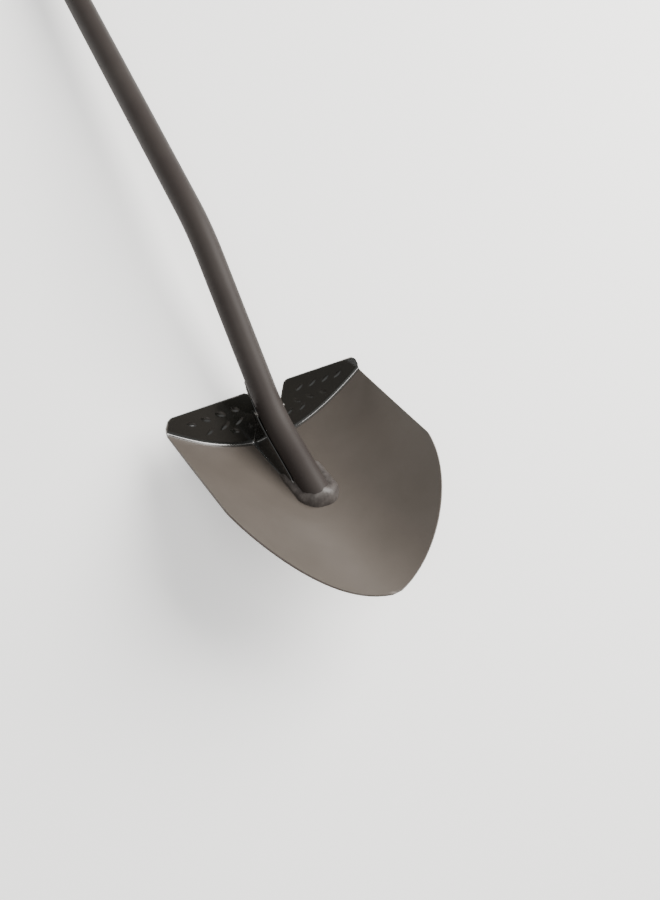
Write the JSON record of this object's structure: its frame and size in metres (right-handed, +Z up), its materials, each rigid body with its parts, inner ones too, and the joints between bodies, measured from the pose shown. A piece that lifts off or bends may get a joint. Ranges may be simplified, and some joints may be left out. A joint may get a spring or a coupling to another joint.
{
  "type": "garden spade",
  "caption": "Round-point digging spade with a dished steel blade, folded foot treads, cranked tubular shaft and D-grip.",
  "frame": {"origin": "on the floor under the middle of the spade's box, with the spade lying on its back", "axes": "+Z up out of the hollow side, +Y along the spade from the tip towards the grip, +X across the blade"},
  "size_m": [0.239, 1.117, 0.1427],
  "materials": {
    "enamelled_steel": "satin brown-black stoving enamel on pressed steel",
    "enamelled_tube": "glossy brown-black enamel on drawn steel tube",
    "enamelled_weld": "enamel over rippled weld bead",
    "moulded_plug": "moulded nylon",
    "moulded_grip": "fine-grained moulded nylon",
    "soft_sleeve": "soft moulded elastomer, matt",
    "plated_rivet": "zinc plated"
  },
  "bodies": {
    "root": {"blade": "enamelled_steel", "shaft_tube": "enamelled_tube", "toe_weld": "enamelled_weld", "neck_weld_left": "enamelled_weld", "neck_weld_right": "enamelled_weld", "tube_plug": "moulded_plug", "grip_frame": "moulded_grip", "grip_sleeve": "soft_sleeve", "grip_rivets": "plated_rivet"}
  },
  "joints": []
}
